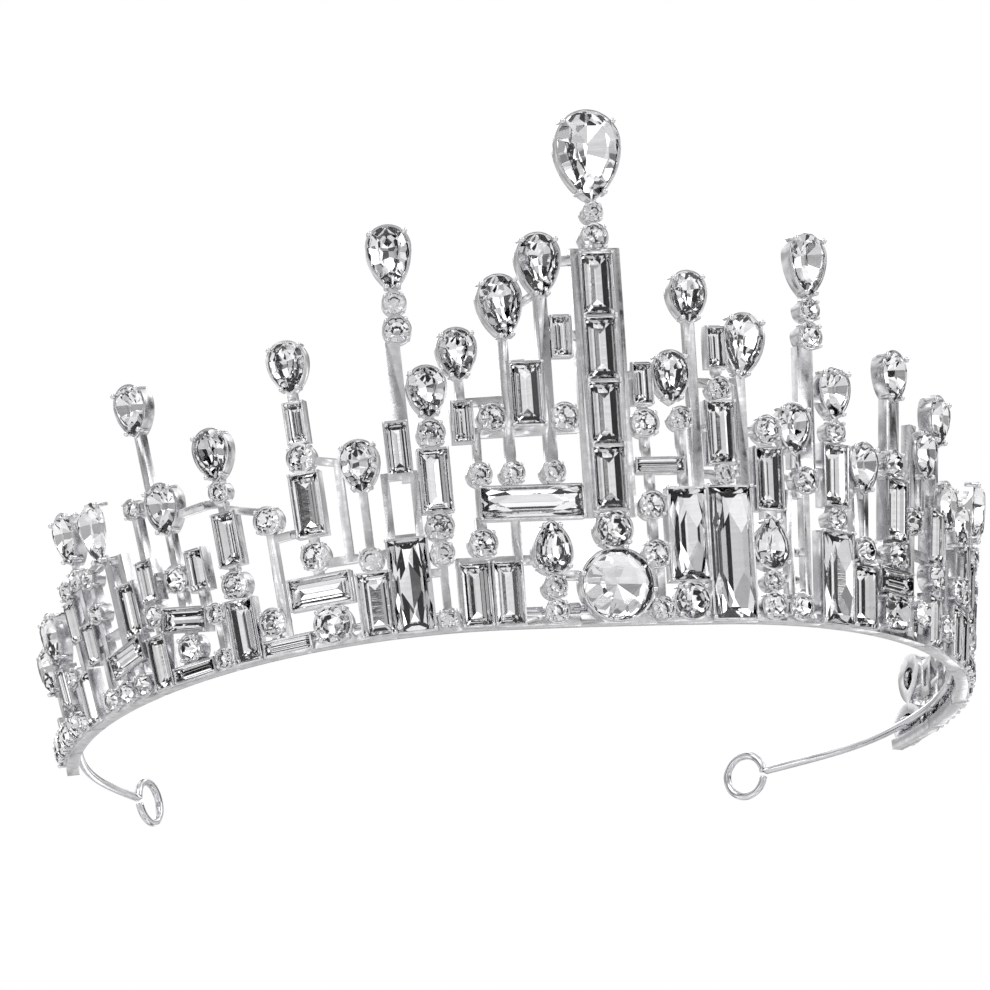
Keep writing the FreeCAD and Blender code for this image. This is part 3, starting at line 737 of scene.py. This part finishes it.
# ---- stones and claws ----------------------------------------------------------------------------
@dataclass
class ClawSetter:
    """Makes the round-headed claw and sets one at each corner of a stone."""

    radius: float = 0.42
    length: float = 1.5
    lean: float = math.radians(4.0)
    outset: float = 0.24
    rise: float = 0.42
    stem_from: float = 0.5
    stem_width: float = 0.85
    end_flatness: float = 0.1
    full_size_at: float = 4.41
    smallest: float = 0.72
    largest: float = 1.25
    model: bpy.types.Object | None = None

    def claw(self) -> bpy.types.Object:
        """Makes the claw, or returns the one made before.

        Returns:
            The claw about its head, in millimetres: a stem drawn down from a rounded bead.
        """
        if self.model:
            return self.model
        deselect()
        bpy.ops.mesh.primitive_uv_sphere_add(segments=8, ring_count=6, radius=self.radius)
        claw = bpy.context.object
        bpy.ops.object.mode_set(mode="EDIT")
        bpy.ops.mesh.select_all(action="DESELECT")
        bpy.ops.mesh.select_mode(type="FACE")
        bpy.ops.object.mode_set(mode="OBJECT")
        for face in claw.data.polygons:
            face.select = face.center.z < -self.radius * self.stem_from
        bpy.ops.object.mode_set(mode="EDIT")
        bpy.ops.mesh.extrude_region_move(
            TRANSFORM_OT_translate={"value": (0, 0, -self.length)})
        bpy.ops.transform.resize(value=(self.stem_width, self.stem_width, self.end_flatness))
        bpy.ops.mesh.select_all(action="SELECT")
        bpy.ops.mesh.normals_make_consistent(inside=False)
        bpy.ops.object.mode_set(mode="OBJECT")
        bpy.ops.object.shade_smooth()
        claw.data.materials.append(CLAW.material())
        put_away(claw)
        self.model = claw
        return claw

    def around(self, seat: Seat, cut: Cut, rim: np.ndarray) -> list[bpy.types.Object]:
        """Sets the claws of one stone.

        Args:
            seat: The stone's seat.
            cut: Its cut, which says where claws stand.
            rim: Its outline.

        Returns:
            The claws, in place.
        """
        share = math.sqrt(min(seat.width, seat.height) / self.full_size_at)
        size = cut.claw_size * min(self.largest, max(self.smallest, share))
        claws = []
        for degrees in cut.claws:
            angle = math.radians(degrees)
            way = np.array([math.cos(angle), math.sin(angle)])
            if seat.outline is Outline.STEP:
                way = np.array([math.copysign(1, way[0]), math.copysign(1, way[1])]) / math.sqrt(2)
            spot = rim[np.argmax(rim @ way)] + way * self.outset * size
            heading = math.atan2(way[1], way[0])
            head = seat.matrix @ (Vector((*spot, self.rise * size)) * MM)
            lift = Vector((0, 0, max(0.0, self.radius * size * MM - head.z)))
            claws.append(placed_copy(self.claw(), Matrix.Translation(head + lift)
                                     @ seat.matrix.to_3x3().to_4x4()
                                     @ Matrix.Rotation(heading, 4, "Z")
                                     @ Matrix.Rotation(-self.lean, 4, "Y")
                                     @ Matrix.Scale(size * MM, 4)))
        return claws


@dataclass
class StoneSetting:
    """All the stones of the tiara, and the claws that hold them."""

    finder: SeatFinder = field(default_factory=SeatFinder)
    cutter: Cutter = field(default_factory=Cutter)
    claws: ClawSetter = field(default_factory=ClawSetter)

    def kind(self, node: str) -> tuple[Outline, Slot]:
        """Tells the stones of a node from its name.

        Args:
            node: The node's name.

        Returns:
            Their outline and their slot.
        """
        if "round" in node:
            return Outline.ROUND, Slot.ROUND
        if "cushion" in node:
            return Outline.CUSHION, Slot.STEP
        if "pear" in node or "drop" in node:
            return Outline.PEAR, Slot.PEAR
        return Outline.STEP, Slot.STEP

    def build(self, chance: random.Random) -> list[bpy.types.Object]:
        """Cuts and sets every stone.

        Args:
            chance: Source of the turns of round stones.

        Returns:
            The pieces: stones and claws, one of each for every node of stones.
        """
        pieces = []
        for node in sorted(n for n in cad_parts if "stone" in n):
            outline, slot = self.kind(node)
            source = node_copy(node, f"measured_{node}")
            stones, claws = [], []
            for points, corners in loose_parts(source.data):
                seat = self.finder.seat(points, corners, outline)
                cut = self.cutter.cut_for(seat)
                turn = Matrix.Identity(4)
                if outline is Outline.ROUND:
                    turn = Matrix.Rotation(chance.uniform(0, math.tau), 4, "Z")
                model = self.cutter.model(seat)
                stones.append(placed_copy(model, seat.matrix @ turn @ Matrix.Scale(MM, 4)))
                claws += self.claws.around(seat, cut, self.cutter.rim(seat))
            bpy.data.objects.remove(source)
            pieces.append(installed(joined(stones, f"cut_{node}"), slot, node))
            pieces.append(installed(joined(claws, f"claws_of_{node}"), Slot.CASTING))
        return pieces


# ---- metal ---------------------------------------------------------------------------------------
@dataclass
class Castings:
    """The cast openwork panels, their edges rounded as polished castings are."""

    edge: float = 0.13 * MM
    edge_angle: float = math.radians(32.0)
    flat_angle: float = math.radians(0.6)
    smooth_angle: float = math.radians(50.0)

    def build(self) -> list[bpy.types.Object]:
        """Makes every panel.

        Returns:
            The panels.
        """
        pieces = []
        for node in sorted(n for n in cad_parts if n.startswith("panel_")):
            panel = node_copy(node, f"cast_{node}")
            apply_modifier(panel, "DECIMATE", decimate_type="DISSOLVE", angle_limit=self.flat_angle)
            apply_modifier(panel, "BEVEL", width=self.edge, segments=2, limit_method="ANGLE",
                           angle_limit=self.edge_angle, use_clamp_overlap=True)
            activate(panel)
            bpy.ops.object.shade_smooth_by_angle(angle=self.smooth_angle)
            panel.data.materials.append(CASTING.material())
            pieces.append(installed(panel, Slot.CASTING, node))
        return pieces


@dataclass
class WireWork:
    """The hoop wire with its tails, and the two hair loops."""

    smooth_angle: float = math.radians(40.0)

    def build(self) -> list[bpy.types.Object]:
        """Makes the wire pieces.

        Returns:
            The hoop and the loops.
        """
        pieces = []
        for node in ("hoop_wire", "hair_loop_left", "hair_loop_right"):
            wire = node_copy(node, f"drawn_{node}")
            activate(wire)
            bpy.ops.object.shade_smooth_by_angle(angle=self.smooth_angle)
            wire.data.materials.append(WIRE.material())
            pieces.append(installed(wire, Slot.WIRE, node))
        return pieces


@dataclass
class SolderWork:
    """The beads of solder between the wire and the castings."""

    grain: float = 0.16 * MM
    rounds: int = 6
    softness: float = 0.5

    def build(self) -> list[bpy.types.Object]:
        """Makes the beads, softened as solder that has flowed.

        Returns:
            One piece with every bead.
        """
        beads = node_copy("solder_beads", "flowed_solder_beads")
        apply_modifier(beads, "REMESH", mode="VOXEL", voxel_size=self.grain)
        apply_modifier(beads, "SMOOTH", iterations=self.rounds, factor=self.softness)
        activate(beads)
        bpy.ops.object.shade_smooth()
        beads.data.materials.append(SOLDER.material())
        return [installed(beads, Slot.SOLDER, "solder_beads")]


# ---- studio --------------------------------------------------------------------------------------
@dataclass(frozen=True)
class Lamp:
    """A soft square lamp: where it hangs, how wide it is and how strong."""

    name: str
    place: tuple[float, float, float]
    size: float
    power: float


@dataclass
class Studio:
    """The floor, the lights and the camera.

    A level tone is a height in the surroundings, from straight down at 0 to straight up at 1, and
    its brightness.  A pane tone is a share of the screens, and the brightness from there on.
    """

    floor_size: float = 6.0
    floor_tone: float = 0.9
    floor_roughness: float = 0.9
    floor_gap: float = 0.3 * MM
    lens: float = 327.27
    sensor: float = 36.0
    nearest: float = 0.01
    distance: float = 1.45528
    yaw: float = math.radians(17.366)
    climb: float = math.radians(-17.117)
    roll: float = math.radians(6.547)
    target: tuple[float, float, float] = (0.0, -0.0066, 0.025)
    aside: tuple[float, float] = (-0.00579, 0.00941)
    level_tones: tuple[tuple[float, float], ...] = (
        (0.0, 0.90), (0.42, 0.86), (0.52, 0.82), (0.585, 0.92), (0.615, 0.52), (0.68, 0.48),
        (0.72, 1.05), (0.84, 1.35), (0.92, 0.95), (1.0, 1.15))
    pane_tones: tuple[tuple[float, float], ...] = (
        (0.0, 0.05), (0.10, 0.50), (0.20, 0.80), (0.42, 1.0), (0.72, 1.15), (0.90, 1.8))
    pane_scale: float = 4.0
    lit_point: tuple[float, float, float] = (0.0, 0.0, 0.03)
    lamps: tuple[Lamp, ...] = (
        Lamp("key", (-0.7, -0.9, 1.0), 0.8, 4.0),
        Lamp("fill", (1.0, -0.6, 0.5), 0.6, 2.0),
        Lamp("back", (0.1, 1.1, 0.8), 0.7, 3.0))

    def floor(self) -> None:
        """Lays a pale floor that shows only to the eye, and only from above."""
        deselect()
        bpy.ops.mesh.primitive_plane_add(size=self.floor_size, location=(0, 0, -self.floor_gap))
        floor = bpy.context.object
        floor.name = "studio_floor"
        material = bpy.data.materials.new("pale_floor")
        material.use_nodes = True
        nodes, links = material.node_tree.nodes, material.node_tree.links
        shader = nodes["Principled BSDF"]
        shader.inputs["Roughness"].default_value = self.floor_roughness
        shader.inputs["Base Color"].default_value = (self.floor_tone,) * 3 + (1.0,)
        clear = nodes.new("ShaderNodeBsdfTransparent")
        side = nodes.new("ShaderNodeNewGeometry")
        choice = nodes.new("ShaderNodeMixShader")
        path = nodes.new("ShaderNodeLightPath")
        unseen = nodes.new("ShaderNodeMath")
        unseen.operation = "SUBTRACT"
        unseen.inputs[0].default_value = 1.0
        links.new(path.outputs["Is Camera Ray"], unseen.inputs[1])
        either = nodes.new("ShaderNodeMath")
        either.operation = "MAXIMUM"
        links.new(side.outputs["Backfacing"], either.inputs[0])
        links.new(unseen.outputs[0], either.inputs[1])
        links.new(either.outputs[0], choice.inputs["Fac"])
        links.new(shader.outputs["BSDF"], choice.inputs[1])
        links.new(clear.outputs["BSDF"], choice.inputs[2])
        links.new(choice.outputs["Shader"], nodes["Material Output"].inputs["Surface"])
        floor.data.materials.append(material)

    def fill_ramp(self, node: bpy.types.Node, stops: tuple[tuple[float, float], ...]) -> None:
        """Gives a colour ramp its stops.

        Args:
            node: The ramp.
            stops: A place and a grey tone for each stop.
        """
        elements = node.color_ramp.elements
        while len(elements) < len(stops):
            elements.new(0.5)       # the loop below gives it its place
        for element, (at, tone) in zip(elements, stops):
            element.position = at
            element.color = (tone, tone, tone, 1.0)

    def surroundings(self) -> None:
        """Sets a white backdrop for the eye, and light and dark screens for the reflections."""
        world = bpy.data.worlds.new("studio")
        bpy.context.scene.world = world
        world.use_nodes = True
        nodes, links = world.node_tree.nodes, world.node_tree.links
        nodes.clear()
        coords = nodes.new("ShaderNodeTexCoord")
        split = nodes.new("ShaderNodeSeparateXYZ")
        links.new(coords.outputs["Generated"], split.inputs["Vector"])
        rise = nodes.new("ShaderNodeMapRange")
        rise.inputs["From Min"].default_value = -1.0
        links.new(split.outputs["Z"], rise.inputs["Value"])
        screens = nodes.new("ShaderNodeValToRGB")
        self.fill_ramp(screens, self.level_tones)
        links.new(rise.outputs["Result"], screens.inputs["Fac"])
        panes = nodes.new("ShaderNodeTexVoronoi")
        panes.inputs["Scale"].default_value = self.pane_scale
        links.new(coords.outputs["Generated"], panes.inputs["Vector"])
        pick = nodes.new("ShaderNodeSeparateColor")
        links.new(panes.outputs["Color"], pick.inputs["Color"])
        tones = nodes.new("ShaderNodeValToRGB")
        tones.color_ramp.interpolation = "CONSTANT"
        self.fill_ramp(tones, self.pane_tones)
        links.new(pick.outputs["Red"], tones.inputs["Fac"])
        product = nodes.new("ShaderNodeMix")
        product.data_type = "RGBA"
        product.blend_type = "MULTIPLY"
        product.inputs[MIX_FACTOR].default_value = 1.0
        links.new(screens.outputs["Color"], product.inputs[MIX_FIRST])
        links.new(tones.outputs["Color"], product.inputs[MIX_SECOND])
        studio = nodes.new("ShaderNodeBackground")
        links.new(product.outputs[MIX_RESULT], studio.inputs["Color"])
        backdrop = nodes.new("ShaderNodeBackground")
        backdrop.inputs["Color"].default_value = (1.0, 1.0, 1.0, 1.0)
        path = nodes.new("ShaderNodeLightPath")
        choice = nodes.new("ShaderNodeMixShader")
        links.new(path.outputs["Is Camera Ray"], choice.inputs["Fac"])
        links.new(studio.outputs[0], choice.inputs[1])
        links.new(backdrop.outputs[0], choice.inputs[2])
        out = nodes.new("ShaderNodeOutputWorld")
        links.new(choice.outputs["Shader"], out.inputs["Surface"])

    def lights(self) -> None:
        """Hangs the soft lamps: a key from the upper left, a fill from the right and one behind."""
        for lamp in self.lamps:
            light = bpy.data.lights.new(f"soft_{lamp.name}", "AREA")
            light.size = lamp.size
            light.energy = lamp.power
            holder = bpy.data.objects.new(f"soft_{lamp.name}", light)
            holder.location = lamp.place
            beam = Vector(self.lit_point) - Vector(lamp.place)
            holder.rotation_euler = beam.to_track_quat("-Z", "Y").to_euler()
            bpy.context.scene.collection.objects.link(holder)

    def camera(self) -> None:
        """Places the camera, low in front of the tiara and looking up at it."""
        yaw, climb, roll = self.yaw, self.climb, self.roll
        ahead = Vector((math.sin(yaw) * math.cos(climb), math.cos(yaw) * math.cos(climb),
                        -math.sin(climb)))
        level = Vector((math.cos(yaw), -math.sin(yaw), 0))
        over = level.cross(ahead)
        right = level * math.cos(roll) - over * math.sin(roll)
        above = level * math.sin(roll) + over * math.cos(roll)
        place = Vector(self.target) - ahead * self.distance
        place += right * self.aside[0] + above * self.aside[1]
        data = bpy.data.cameras.new("front_camera")
        data.lens = self.lens
        data.sensor_width = self.sensor
        data.clip_start = self.nearest
        camera = bpy.data.objects.new("front_camera", data)
        camera.matrix_world = Matrix.Translation(place) @ Matrix(
            (right, above, -ahead)).transposed().to_4x4()
        bpy.context.scene.collection.objects.link(camera)
        bpy.context.scene.camera = camera


def main() -> None:
    """Builds the studio and the tiara, and reports every piece."""
    logging.basicConfig(level=logging.INFO, format="%(name)s: %(message)s")
    bpy.context.scene.view_settings.view_transform = "Standard"
    chance = random.Random(SEED)
    studio = Studio()
    studio.camera()
    studio.surroundings()
    studio.lights()
    studio.floor()
    pieces = Castings().build()
    pieces += StoneSetting().build(chance)
    pieces += WireWork().build()
    pieces += SolderWork().build()
    total = 0
    for piece in pieces:
        piece.data.calc_loop_triangles()
        total += len(piece.data.loop_triangles)
        LOG.info("%s: %d triangles", piece.name, len(piece.data.loop_triangles))
    LOG.info("%d pieces, %d triangles", len(pieces), total)
    bpy.context.view_layer.update()


if __name__ == "__main__":
    main()
